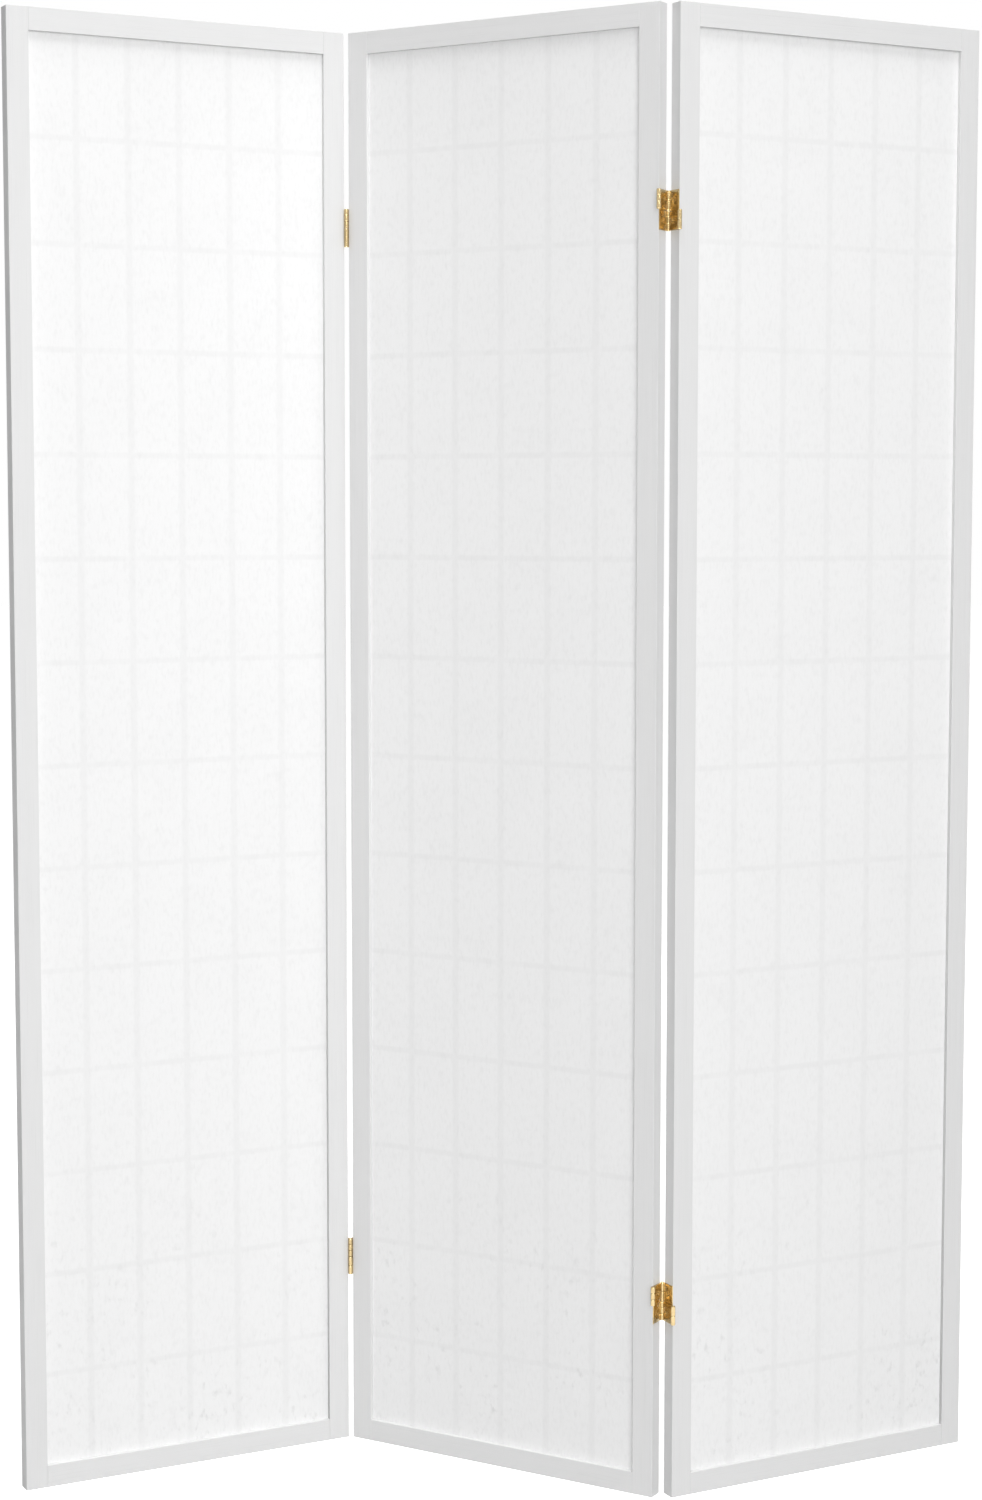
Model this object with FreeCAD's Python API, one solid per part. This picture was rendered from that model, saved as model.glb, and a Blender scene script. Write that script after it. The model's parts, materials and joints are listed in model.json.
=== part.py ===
# Three-panel folding screen. Painted timber frames hold rice paper backed by a lattice of thin bars,
# and two-way brass hinges join the panels edge to edge, so that each fold closes flat.
# Millimetres, +Z up. The front faces -Y, and the origin is the middle of the footprint on the floor.
import FreeCAD, Part
import os

Vector = FreeCAD.Vector
UP = Vector(0, 0, 1)
ALONG_X = Vector(1, 0, 0)

# Panels, each seen in its own frame: x from its left edge, y from its front face, z from the floor.
panel_height = 1784.35
panel_width = 431.8
frame_thickness = 19.05

# Folds at rest, in degrees away from one straight line.
left_fold_at_rest = 57.4
right_fold_at_rest = 58.0

# Frame members. The rabbet at the back leaves a thin lip round the opening.
stile_width = 27.0
rail_width = 27.3
lip_thickness = 6.0
stile_rabbet = 6.0
rail_rabbet = 8.0
eased_edge = 0.8

# Blind tenons on the rails' ends.
tenon_length = 14.0
tenon_thickness = 6.5
tenon_height = 13.0
tenon_fit = 0.1
mortise_spare_depth = 1.0

# Rice paper, glued to the back of the lip.
paper_thickness = 0.3
paper_edge_gap = 1.0

# Lattice behind the paper: uprights against the sheet and crossbars across their backs.
upright_count = 5
upright_width = 7.5
upright_depth = 4.0
crossbar_count = 13
crossbar_width = 6.0
crossbar_depth = 3.5
crossbar_drop = 4.9
lattice_end_gap = 0.3

# Two-way hinges. Each has two leaves on the panel edges and two swing plates between them.
hinge_height = 46.8
hinge_centre_from_end = 239.0
hinge_sheet = 1.0
plate_clearance = 0.1
pin_diameter = 3.4
pin_fit = 0.05
barrel_clearance = 0.25
plate_edge_gap = 0.15
knuckle_gap = 0.15
middle_gap = 0.5

# Knuckles in each barrel: short ones on the left leaf's barrels, long ones on the right leaf's.
left_barrel_knuckles = 3
right_barrel_knuckles = 2

# Sizes that follow from those above.
bore_radius = pin_diameter / 2 + pin_fit
barrel_radius = bore_radius + hinge_sheet
axis_stand_off = barrel_radius + barrel_clearance
panel_gap = 3 * hinge_sheet + 2 * plate_clearance
barrel_length = (hinge_height - middle_gap) / 2
stile_back_width = stile_width - stile_rabbet
rail_back_width = rail_width - rail_rabbet
paper_back = lip_thickness + paper_thickness
hinge_heights = (hinge_centre_from_end, panel_height - hinge_centre_from_end)

# Middle of the gap beside each edge of a panel, where the hinges stand.
right_gap_x = panel_width + panel_gap / 2
left_gap_x = -panel_gap / 2


def box(low_x, low_y, low_z, high_x, high_y, high_z):
    """A box between two opposite corners."""
    return Part.makeBox(high_x - low_x, high_y - low_y, high_z - low_z, Vector(low_x, low_y, low_z))


def eased_outline(corners):
    """A closed wire through (point, ease) corners, with a small flat across each eased corner."""
    points = []
    for i, (point, ease) in enumerate(corners):
        before = (corners[i - 1][0] - point).normalize()
        after = (corners[(i + 1) % len(corners)][0] - point).normalize()
        points.append(point + before * ease)
        if ease > 0:
            points.append(point + after * ease)
    return Part.makePolygon(points + points[:1])


def stile_corners():
    """The stile's section: outer edge at x = 0, lip at the front, rabbet at the inner back."""
    return [
        (Vector(0, 0, 0), eased_edge),
        (Vector(stile_width, 0, 0), eased_edge),
        (Vector(stile_width, lip_thickness, 0), 0),
        (Vector(stile_back_width, lip_thickness, 0), 0),
        (Vector(stile_back_width, frame_thickness, 0), 0),
        (Vector(0, frame_thickness, 0), eased_edge),
    ]


def rail_face_corners():
    """The bottom rail's front part in section, from the front face to the back of the lip."""
    return [
        (Vector(stile_width, 0, 0), eased_edge),
        (Vector(stile_width, 0, rail_width), eased_edge),
        (Vector(stile_width, lip_thickness, rail_width), 0),
        (Vector(stile_width, lip_thickness, 0), 0),
    ]


def rail_back_corners():
    """The bottom rail's back part in section, behind the lip."""
    return [
        (Vector(stile_back_width, lip_thickness, 0), 0),
        (Vector(stile_back_width, lip_thickness, rail_back_width), 0),
        (Vector(stile_back_width, frame_thickness, rail_back_width), 0),
        (Vector(stile_back_width, frame_thickness, 0), eased_edge),
    ]


def run_across(corners, inset):
    """A section carried straight across the panel, to the same inset from its other edge."""
    return Part.Face(eased_outline(corners)).extrude(ALONG_X * (panel_width - 2 * inset))


def mirrored_across(shape):
    """The same shape on the other side of the panel."""
    return shape.mirror(Vector(panel_width / 2, 0, 0), ALONG_X)


def mirrored_to_top(shape):
    """The same shape at the other end of the panel."""
    return shape.mirror(Vector(0, 0, panel_height / 2), UP)


def tenon(spare, spare_depth):
    """The bottom rail's left-hand tenon, or its mortise when spare sizes are given."""
    middle_y = (lip_thickness + frame_thickness) / 2
    middle_z = rail_back_width / 2
    reach_y = tenon_thickness / 2 + spare
    reach_z = tenon_height / 2 + spare
    tip = stile_back_width - tenon_length - spare_depth
    low = (tip, middle_y - reach_y, middle_z - reach_z)
    high = (stile_back_width, middle_y + reach_y, middle_z + reach_z)
    return box(*low, *high)


def stile(side):
    """A stile on the left or right side, with a mortise near each end."""
    section = Part.Face(eased_outline(stile_corners()))
    mortise = tenon(tenon_fit, mortise_spare_depth)
    shape = section.extrude(UP * panel_height).cut(mortise).cut(mirrored_to_top(mortise))
    return shape if side == "left" else mirrored_across(shape)


def rail(end):
    """A bottom or top rail. Its back part is longer than its front and fills the stiles' rabbets."""
    front_part = run_across(rail_face_corners(), stile_width)
    back_part = run_across(rail_back_corners(), stile_back_width)
    tenons = (tenon(0, 0), mirrored_across(tenon(0, 0)))
    shape = front_part.fuse(back_part).fuse(tenons).removeSplitter()
    return shape if end == "bottom" else mirrored_to_top(shape)


def rice_paper():
    """The sheet of paper, which reaches into the rabbets on all four sides."""
    side = stile_back_width + paper_edge_gap
    end = rail_back_width + paper_edge_gap
    return box(side, lip_thickness, end, panel_width - side, paper_back, panel_height - end)


def even_places(low, high, count):
    """Places that part the length from low to high into equal cells."""
    pitch = (high - low) / (count + 1)
    return [low + pitch * (i + 1) for i in range(count)]


def lattice_uprights():
    """Thin bars from rail to rail, glued to the back of the paper."""
    end = rail_back_width + lattice_end_gap
    back = paper_back + upright_depth
    half = upright_width / 2
    places = even_places(stile_back_width, panel_width - stile_back_width, upright_count)
    return [box(x - half, paper_back, end, x + half, back, panel_height - end) for x in places]


def lattice_crossbars():
    """Thin bars from stile to stile across the uprights' backs, a little low between the rails."""
    end = stile_back_width + lattice_end_gap
    front = paper_back + upright_depth
    back = front + crossbar_depth
    half = crossbar_width / 2
    places = even_places(rail_back_width, panel_height - rail_back_width, crossbar_count)
    heights = [z - crossbar_drop for z in places]
    return [box(end, front, z - half, panel_width - end, back, z + half) for z in heights]


def barrel_y(front):
    """Where a barrel's axis stands: ahead of the front face, or behind the back face."""
    return -axis_stand_off if front else frame_thickness + axis_stand_off


def barrel_span(half, count, first, last):
    """Bottom and top of knuckles first to last out of count. Half is 1 above the middle and -1 below."""
    knuckle = (barrel_length - (count - 1) * knuckle_gap) / count
    near = middle_gap / 2 + first * (knuckle + knuckle_gap)
    far = middle_gap / 2 + last * (knuckle + knuckle_gap) + knuckle
    return min(half * near, half * far), max(half * near, half * far)


def knuckle(half, count, place, front, sheet_left, sheet_edge):
    """A knuckle round a barrel's axis, with the neck that joins it to the edge of its sheet."""
    low, high = barrel_span(half, count, place, place)
    y = barrel_y(front)
    roll = Part.makeCylinder(barrel_radius, high - low, Vector(0, y, low), UP)
    neck = box(sheet_left, min(y, sheet_edge), low, sheet_left + hinge_sheet, max(y, sheet_edge), high)
    return roll.fuse(neck)


def barrel_rod(radius, half, count, front):
    """A rod along one whole barrel: the pin, or the bore when it has the bore's radius."""
    low, high = barrel_span(half, count, 0, count - 1)
    return Part.makeCylinder(radius, high - low, Vector(0, barrel_y(front), low), UP)


def hinge_leaf(barrels, count, places):
    """A leaf against the left-hand panel with its knuckles at the given (half, front) barrels.

    Each barrel's pin is riveted into the leaf's own knuckles and is one solid with them.
    """
    left = -panel_gap / 2
    reach = hinge_height / 2
    leaf = box(left, 0, -reach, left + hinge_sheet, frame_thickness, reach)
    for half, front in barrels:
        edge = 0 if front else frame_thickness
        for place in places:
            leaf = leaf.fuse(knuckle(half, count, place, front, left, edge))
        leaf = leaf.fuse(barrel_rod(pin_diameter / 2, half, count, front))
    return leaf.removeSplitter()


def left_leaf():
    """The left leaf: end knuckles of the upper front barrel and of the lower back barrel."""
    places = range(0, left_barrel_knuckles, 2)
    return hinge_leaf([(1, True), (-1, False)], left_barrel_knuckles, places)


def right_leaf():
    """The right leaf: outer knuckles of the upper back barrel and of the lower front barrel."""
    places = range(1, right_barrel_knuckles, 2)
    leaf = hinge_leaf([(1, True), (-1, False)], right_barrel_knuckles, places)
    leaf.rotate(Vector(0, frame_thickness / 2, 0), UP, 180)
    return leaf


def swing_plate(half):
    """A swing plate: it turns on the left leaf's pin at one edge and the right leaf's at the other."""
    left = -hinge_sheet / 2
    low, high = barrel_span(half, 1, 0, 0)
    front_edge = plate_edge_gap
    back_edge = frame_thickness - plate_edge_gap
    plate = box(left, front_edge, low, left + hinge_sheet, back_edge, high)
    for front in (True, False):
        on_left_leaf = front == (half > 0)
        count = left_barrel_knuckles if on_left_leaf else right_barrel_knuckles
        places = range(1, count, 2) if on_left_leaf else range(0, count, 2)
        for place in places:
            plate = plate.fuse(knuckle(half, count, place, front, left, front_edge if front else back_edge))
        plate = plate.cut(barrel_rod(bore_radius, half, 1, front))
    return plate.removeSplitter()


def hung(yaw, own_axis, axis):
    """The place of a panel turned by yaw whose own axis point comes onto the given one."""
    turn = FreeCAD.Rotation(UP, yaw)
    return FreeCAD.Placement(axis - turn.multVec(own_axis), turn)


def fold_axis(x, front):
    """A hinge axis on the floor, in a panel's own frame."""
    return Vector(x, barrel_y(front), 0)


def footprint(places):
    """Lowest and highest plan corner of the panels and hinge barrels."""
    section = eased_outline(stile_corners()).Vertexes
    corners = [vertex.Point for vertex in section]
    corners += [Vector(panel_width - point.x, point.y, 0) for point in corners]
    spots = [(place.multVec(point), 0) for place in places.values() for point in corners]
    hinged_edges = {
        "left_panel": [right_gap_x],
        "middle_panel": [left_gap_x, right_gap_x],
        "right_panel": [left_gap_x],
    }
    for panel, edges in hinged_edges.items():
        axes = [fold_axis(x, front) for x in edges for front in (True, False)]
        spots += [(places[panel].multVec(axis), barrel_radius) for axis in axes]
    low = Vector(min(p.x - r for p, r in spots), min(p.y - r for p, r in spots), 0)
    high = Vector(max(p.x + r for p, r in spots), max(p.y + r for p, r in spots), 0)
    return low, high


def panel_places():
    """Where the three panels stand: a zigzag centred on the origin."""
    yaw = -(left_fold_at_rest + right_fold_at_rest) / 4
    middle = FreeCAD.Placement(Vector(0, 0, 0), FreeCAD.Rotation(UP, yaw))
    front_axis = middle.multVec(fold_axis(left_gap_x, True))
    back_axis = middle.multVec(fold_axis(right_gap_x, False))
    places = {
        "left_panel": hung(yaw + left_fold_at_rest, fold_axis(right_gap_x, True), front_axis),
        "middle_panel": middle,
        "right_panel": hung(yaw + right_fold_at_rest, fold_axis(left_gap_x, False), back_axis),
    }
    low, high = footprint(places)
    shift = FreeCAD.Placement((low + high) * -0.5, FreeCAD.Rotation())
    return {panel: shift.multiply(place) for panel, place in places.items()}


def export(name, solids, place):
    """Writes one node's solids, brought from the panel's frame to the screen's."""
    placed = []
    for solid in solids:
        copy = solid.copy()
        copy.Placement = place.multiply(copy.Placement)
        placed.append(copy)
    shape = placed[0] if len(placed) == 1 else Part.makeCompound(placed)
    shape.exportStep(f"parts/{name}.step")


def export_panel(panel, place):
    """Writes the pieces of one panel."""
    for side in ("left", "right"):
        export(f"{panel}_{side}_stile", [stile(side)], place)
    for end in ("bottom", "top"):
        export(f"{panel}_{end}_rail", [rail(end)], place)
    export(f"{panel}_rice_paper", [rice_paper()], place)
    export(f"{panel}_lattice_uprights", lattice_uprights(), place)
    export(f"{panel}_lattice_crossbars", lattice_crossbars(), place)


def export_hinges(fold, left_place, right_place, upper_goes_left):
    """Writes both hinges of one fold. Each swing plate goes with the leaf that it lies on at rest."""
    on_left = {"left_leaf": left_leaf()}
    on_right = {"right_leaf": right_leaf()}
    upper_side, lower_side = (on_left, on_right) if upper_goes_left else (on_right, on_left)
    upper_side["upper_swing_plate"] = swing_plate(1)
    lower_side["lower_swing_plate"] = swing_plate(-1)
    for pieces, place, x in ((on_left, left_place, right_gap_x), (on_right, right_place, left_gap_x)):
        for level, height in zip(("bottom", "top"), hinge_heights):
            for piece, shape in pieces.items():
                copy = shape.copy()
                copy.translate(Vector(x, 0, height))
                export(f"{fold}_{level}_hinge_{piece}", [copy], place)


def build():
    """Builds every piece of the screen and prints where the fold axes stand."""
    os.makedirs("parts", exist_ok=True)
    places = panel_places()
    for panel, place in places.items():
        export_panel(panel, place)
    export_hinges("left", places["left_panel"], places["middle_panel"], upper_goes_left=False)
    export_hinges("right", places["middle_panel"], places["right_panel"], upper_goes_left=True)
    for fold, axis in (("left", fold_axis(left_gap_x, True)), ("right", fold_axis(right_gap_x, False))):
        spot = places["middle_panel"].multVec(axis)
        print(fold, "fold axis at", round(spot.x, 5), round(spot.y, 5))


build()
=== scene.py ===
"""Looks of a three-panel folding screen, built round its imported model.

Every length is in metres. A panel's own frame has x from its left edge, y from its front face and z from the
floor; each piece is built there and its mesh is then moved to where the panel stands.
"""

import json
import logging
import math
from dataclasses import dataclass
from enum import Enum
from itertools import product
from typing import Callable, Sequence

import bmesh
import bpy
from mathutils import Matrix, Vector, noise

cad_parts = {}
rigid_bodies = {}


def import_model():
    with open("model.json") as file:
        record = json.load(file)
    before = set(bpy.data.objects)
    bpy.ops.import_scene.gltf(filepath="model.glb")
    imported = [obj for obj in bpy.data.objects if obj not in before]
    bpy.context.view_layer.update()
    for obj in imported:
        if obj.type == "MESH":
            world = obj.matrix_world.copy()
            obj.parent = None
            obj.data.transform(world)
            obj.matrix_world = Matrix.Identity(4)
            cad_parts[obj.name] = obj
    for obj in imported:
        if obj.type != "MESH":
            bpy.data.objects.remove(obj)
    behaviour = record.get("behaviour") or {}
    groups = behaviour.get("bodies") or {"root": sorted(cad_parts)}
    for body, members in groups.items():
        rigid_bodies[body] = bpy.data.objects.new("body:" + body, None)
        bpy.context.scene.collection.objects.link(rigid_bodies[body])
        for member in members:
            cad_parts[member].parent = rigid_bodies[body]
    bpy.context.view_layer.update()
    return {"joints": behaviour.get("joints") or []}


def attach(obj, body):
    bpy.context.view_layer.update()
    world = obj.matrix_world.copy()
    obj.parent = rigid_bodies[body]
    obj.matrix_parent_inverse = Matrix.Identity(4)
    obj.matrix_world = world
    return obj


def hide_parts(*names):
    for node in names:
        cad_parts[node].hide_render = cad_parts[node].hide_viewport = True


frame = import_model()

log = logging.getLogger("folding_screen")
Material = bpy.types.Material
Mesh = bpy.types.Mesh
Socket = bpy.types.NodeSocket
Triple = tuple[float, float, float]
MM = 0.001
SAME_POINT = 1e-6
ONE_FLAT = math.radians(1)
SOFT_EDGE = math.radians(35)
WHITE = (1.0, 1.0, 1.0, 1.0)
# attribute that carries painted light and painted shade for the frame's inner lip faces
LIP_PAINTED_LIGHT_AND_SHADE = "lip_painted_light_and_shade"
GRAIN_PLACE = "grain_place"
SHEET_PLACE = "sheet_place"


class Side(Enum):
    """The two sides of a panel or of a hinge."""

    LEFT = "left"
    RIGHT = "right"

    @property
    def other(self) -> "Side":
        """The opposite side."""
        return Side.RIGHT if self is Side.LEFT else Side.LEFT


class End(Enum):
    """The two ends of a panel."""

    BOTTOM = "bottom"
    TOP = "top"


class Slot(Enum):
    """The record's material slots."""

    PAINTED_WOOD = "painted_wood"
    LATTICE_WOOD = "lattice_wood"
    RICE_PAPER = "rice_paper"
    BRASS = "brass"


# Node trees


class NodeGraph:
    """A node tree that is filled node by node."""

    def __init__(self, tree: bpy.types.NodeTree) -> None:
        """Starts an empty graph.

        Args:
            tree: the tree to fill; what it holds is cleared.
        """
        self.tree = tree
        tree.nodes.clear()

    def add(self, kind: str, inputs: dict | None = None, **settings: object) -> bpy.types.Node:
        """Adds a node.

        Args:
            kind: the node's type.
            inputs: input name or number to a value, or to the socket that feeds it.
            settings: the node's own properties.

        Returns:
            The new node.
        """
        node = self.tree.nodes.new(kind)
        for key, value in settings.items():
            setattr(node, key, value)
        for key, value in (inputs or {}).items():
            if isinstance(value, Socket):
                self.tree.links.new(value, node.inputs[key])
            else:
                node.inputs[key].default_value = value
        return node

    def out(self, kind: str, inputs: dict | None = None, **settings: object) -> Socket:
        """Adds a node in the same way and returns its first output."""
        return self.add(kind, inputs, **settings).outputs[0]

    def math(self, operation: str, *values: object) -> Socket:
        """Adds a math node and returns its result."""
        return self.out("ShaderNodeMath", dict(enumerate(values)), operation=operation)


@dataclass(frozen=True)
class Marks:
    """Noise over a surface: it shows from least to amount as its value goes from low to high."""

    per_metre: float
    detail: float
    roughness: float = 0.5
    along: float = 1.0
    low: float = 0.0
    high: float = 1.0
    least: float = 0.0
    amount: float = 1.0


class SurfaceGraph(NodeGraph):
    """The nodes of one material."""

    def __init__(self, name: str) -> None:
        """Makes an empty material.

        Args:
            name: the material's name.
        """
        self.material = bpy.data.materials.new(name)
        self.material.use_nodes = True
        super().__init__(self.material.node_tree)

    def attribute(self, name: str) -> Socket:
        """The vector that the mesh holds under that name."""
        return self.add("ShaderNodeAttribute", attribute_name=name).outputs["Vector"]

    def cloud(self, place: Socket, marks: Marks) -> Socket:
        """The marks' bare noise from 0 to 1, with its own scale along the third axis."""
        scaled = self.out("ShaderNodeMapping", {"Vector": place, "Scale": (1.0, 1.0, marks.along)})
        return self.out("ShaderNodeTexNoise", {
            "Vector": scaled, "Scale": marks.per_metre, "Detail": marks.detail, "Roughness": marks.roughness})

    def ramp(self, value: Socket, low: float, high: float, start: float, end: float) -> Socket:
        """Value from low to high, mapped smoothly onto start to end and held there."""
        inputs = {"Value": value, "From Min": low, "From Max": high, "To Min": start, "To Max": end}
        return self.out("ShaderNodeMapRange", inputs, interpolation_type="SMOOTHSTEP")

    def shown(self, cloud: Socket, marks: Marks) -> Socket:
        """How strongly marks show where their bare noise has that value."""
        return self.ramp(cloud, marks.low, marks.high, marks.least, marks.amount)

    def marked(self, place: Socket, marks: Marks) -> Socket:
        """How strongly marks show over the surface."""
        return self.shown(self.cloud(place, marks), marks)

    def mixed(self, factor: Socket, low: Socket | Triple, high: Socket | Triple) -> Socket:
        """A colour between two, by a factor from 0 to 1."""
        low, high = ((*end, 1.0) if isinstance(end, tuple) else end for end in (low, high))
        return self.add("ShaderNodeMix", {"Factor": factor, 6: low, 7: high}, data_type="RGBA").outputs[2]

    def bump(self, height: Socket, distance: float) -> Socket:
        """The normal of a surface that rises by up to distance."""
        return self.out("ShaderNodeBump", {"Height": height, "Distance": distance, "Strength": 1.0})

    def finish_with(self, surface: Socket) -> Material:
        """Wires the surface to the output and returns the material."""
        self.add("ShaderNodeOutputMaterial", {"Surface": surface})
        return self.material


class ShapeGraph(NodeGraph):
    """A geometry tree with named inputs that ends in realised instances of one material."""

    KINDS = {float: "NodeSocketFloat", int: "NodeSocketInt", tuple: "NodeSocketVector",
             Material: "NodeSocketMaterial"}

    def __init__(self, name: str, values: dict[str, object]) -> None:
        """Makes the tree.

        Args:
            name: the tree's name.
            values: each input's name with its value for this piece.
        """
        super().__init__(bpy.data.node_groups.new(name, "GeometryNodeTree"))
        face = self.tree.interface
        face.new_socket("Geometry", in_out="INPUT", socket_type="NodeSocketGeometry")
        self.values = values
        self.identifiers = {}
        for key, value in values.items():
            kind = next(k for t, k in self.KINDS.items() if isinstance(value, t))
            self.identifiers[key] = face.new_socket(key, in_out="INPUT", socket_type=kind).identifier
        face.new_socket("Geometry", in_out="OUTPUT", socket_type="NodeSocketGeometry")
        self.given = self.add("NodeGroupInput").outputs

    def end(self, geometry: Socket) -> None:
        """Realises the geometry, gives it the input named Finish and ends the tree.

        Args:
            geometry: what the tree has made.
        """
        real = self.out("GeometryNodeRealizeInstances", {0: geometry})
        dressed = self.out("GeometryNodeSetMaterial", {"Geometry": real, "Material": self.given["Finish"]})
        self.add("NodeGroupOutput", {0: dressed})

    def end_with_row(self, piece: Socket, step: Socket) -> None:
        """Ends the tree with as many copies of a piece as the input named Count says, a step apart."""
        line = self.out("GeometryNodeMeshLine", {"Count": self.given["Count"], "Offset": step})
        self.end(self.out("GeometryNodeInstanceOnPoints", {"Points": line, "Instance": piece}))

    def applied_to(self, mesh: Mesh) -> Mesh:
        """Runs the tree on a mesh.

        Args:
            mesh: what the tree takes as its geometry.

        Returns:
            The result as a plain mesh.
        """
        obj = linked("draft", mesh)
        modifier = obj.modifiers.new("shape", "NODES")
        modifier.node_group = self.tree
        for key, value in self.values.items():
            modifier[self.identifiers[key]] = value
        return settled(obj)


# Meshes


def linked(name: str, data: bpy.types.ID) -> bpy.types.Object:
    """A new object of that name and data in the scene.

    Args:
        name: the object's name.
        data: its mesh, curve, lamp or camera.

    Returns:
        The object.
    """
    obj = bpy.data.objects.new(name, data)
    bpy.context.scene.collection.objects.link(obj)
    return obj


def meshed(name: str, bm: bmesh.types.BMesh) -> Mesh:
    """A new mesh with what bm holds. It frees bm.

    Args:
        name: the mesh's name.
        bm: what it takes.

    Returns:
        The mesh.
    """
    mesh = bpy.data.meshes.new(name)
    bm.to_mesh(mesh)
    bm.free()
    return mesh


def settled(obj: bpy.types.Object) -> Mesh:
    """Turns a draft object with its modifiers into a plain mesh, and removes the object.

    Args:
        obj: the draft.

    Returns:
        Its mesh as evaluated.
    """
    depsgraph = bpy.context.evaluated_depsgraph_get()
    evaluated = obj.evaluated_get(depsgraph)
    mesh = bpy.data.meshes.new_from_object(evaluated, preserve_all_data_layers=True, depsgraph=depsgraph)
    bpy.data.objects.remove(obj)
    return mesh


def eased(mesh: Mesh, width: float, segments: int) -> Mesh:
    """Rounds every edge of a sharp-edged mesh and keeps its flats flat.

    Args:
        mesh: a closed mesh.
        width: how far the rounding reaches from each edge.
        segments: faces across each rounding.

    Returns:
        The rounded mesh.
    """
    mesh.shade_smooth()
    obj = linked("draft", mesh)
    bevel = obj.modifiers.new("ease", "BEVEL")
    bevel.width = width
    bevel.segments = segments
    bevel.limit_method = "ANGLE"
    bevel.harden_normals = True
    return settled(obj)


def blocks(xs: Sequence[float], ys: Sequence[float], zs: Sequence[float],
           filled: Callable[[int, int, int], bool]) -> Mesh:
    """The closed skin of the filled cells of a grid, with its flats in one face each.

    Args:
        xs: the grid's planes across x, rising.
        ys: the grid's planes across y, rising.
        zs: the grid's planes across z, rising.
        filled: says whether the cell of those numbers is solid.

    Returns:
        The mesh.
    """
    planes = (xs, ys, zs)
    inside = {cell for cell in product(*(range(len(p) - 1) for p in planes)) if filled(*cell)}
    bm = bmesh.new()
    corners: dict[tuple[int, ...], bmesh.types.BMVert] = {}

    def corner(place: tuple[int, ...]) -> bmesh.types.BMVert:
        """The one vertex at a grid point.

        Args:
            place: the numbers of its planes.

        Returns:
            The vertex.
        """
        if place not in corners:
            corners[place] = bm.verts.new([planes[k][place[k]] for k in range(3)])
        return corners[place]

    for cell, axis, step in product(sorted(inside), range(3), (0, 1)):
        beyond = list(cell)
        beyond[axis] += 2 * step - 1
        if tuple(beyond) in inside:
            continue
        u, v = (axis + 1) % 3, (axis + 2) % 3
        ring = []
        for du, dv in ((0, 0), (1, 0), (1, 1), (0, 1)):
            place = list(cell)
            place[axis] += step
            place[u] += du
            place[v] += dv
            ring.append(corner(tuple(place)))
        bm.faces.new(ring if step else ring[::-1])
    bmesh.ops.dissolve_limit(bm, angle_limit=ONE_FLAT, verts=bm.verts, edges=bm.edges)
    return meshed("blocks", bm)


def circle(centre: Vector, radius: float, sides: int) -> list[Vector]:
    """The corners of a regular outline round a centre."""
    turns = [2 * math.pi * i / sides for i in range(sides)]
    return [centre + Vector((math.cos(t), math.sin(t))) * radius for t in turns]


def cut_sheet(outlines: Sequence[Sequence[Vector]], thickness: float, rim: float) -> Mesh:
    """A flat sheet in the XY plane with rounded rims, cut to an outline and pierced by the others.

    Args:
        outlines: closed outlines, of which the first is the outer one.
        thickness: the sheet's thickness, centred on z = 0.
        rim: the radius of its edges.

    Returns:
        The mesh.
    """
    curve = bpy.data.curves.new("sheet", "CURVE")
    curve.dimensions = "2D"
    curve.fill_mode = "BOTH"
    curve.extrude = thickness / 2 - rim
    curve.bevel_depth = rim
    curve.bevel_resolution = 1
    curve.offset = -rim
    for outline in outlines:
        spline = curve.splines.new("POLY")
        spline.points.add(len(outline) - 1)
        for point, place in zip(spline.points, outline):
            point.co = (place.x, place.y, 0, 1)
        spline.use_cyclic_u = True
    mesh = settled(linked("draft", curve))
    bm = bmesh.new()
    bm.from_mesh(mesh)
    bmesh.ops.remove_doubles(bm, verts=bm.verts, dist=rim / 50)
    bmesh.ops.recalc_face_normals(bm, faces=bm.faces)
    bm.to_mesh(mesh)
    bm.free()
    return mesh


def lathed(profile: Sequence[tuple[float, float]], sides: int) -> Mesh:
    """A closed turned piece about the z axis.

    Args:
        profile: (radius, height) points from the axis at one end to the axis at the other.
        sides: faces round it.

    Returns:
        The mesh.
    """
    bm = bmesh.new()
    rings = []
    for radius, height in profile:
        if radius == 0:
            rings.append([bm.verts.new((0, 0, height))] * sides)
            continue
        ring = circle(Vector((0, 0)), radius, sides)
        rings.append([bm.verts.new((p.x, p.y, height)) for p in ring])
    for low, high in zip(rings, rings[1:]):
        for i in range(sides):
            j = (i + 1) % sides
            loop = dict.fromkeys((low[i], low[j], high[j], high[i]))
            if len(loop) > 2:
                bm.faces.new(loop)
    bmesh.ops.recalc_face_normals(bm, faces=bm.faces)
    return meshed("lathed", bm)


def joined(meshes: Sequence[Mesh]) -> Mesh:
    """One mesh that holds all of the given ones.

    Args:
        meshes: the parts.

    Returns:
        The whole.
    """
    bm = bmesh.new()
    for mesh in meshes:
        bm.from_mesh(mesh)
    return meshed("joined", bm)


def moved(mesh: Mesh, matrix: Matrix) -> Mesh:
    """The mesh, moved by a matrix. A matrix that mirrors also turns the faces outwards again.

    Args:
        mesh: the mesh to move.
        matrix: where to.

    Returns:
        The same mesh.
    """
    mesh.transform(matrix)
    if matrix.determinant() < 0:
        mesh.flip_normals()
    return mesh


def smoothed(mesh: Mesh, angle: float = SOFT_EDGE) -> Mesh:
    """The mesh with smooth shading that breaks at edges sharper than the angle.

    Args:
        mesh: the mesh to shade.
        angle: the sharpest edge that is still shaded smoothly.

    Returns:
        The same mesh.
    """
    mesh.shade_smooth()
    mesh.set_sharp_from_angle(angle=angle)
    return mesh


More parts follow.
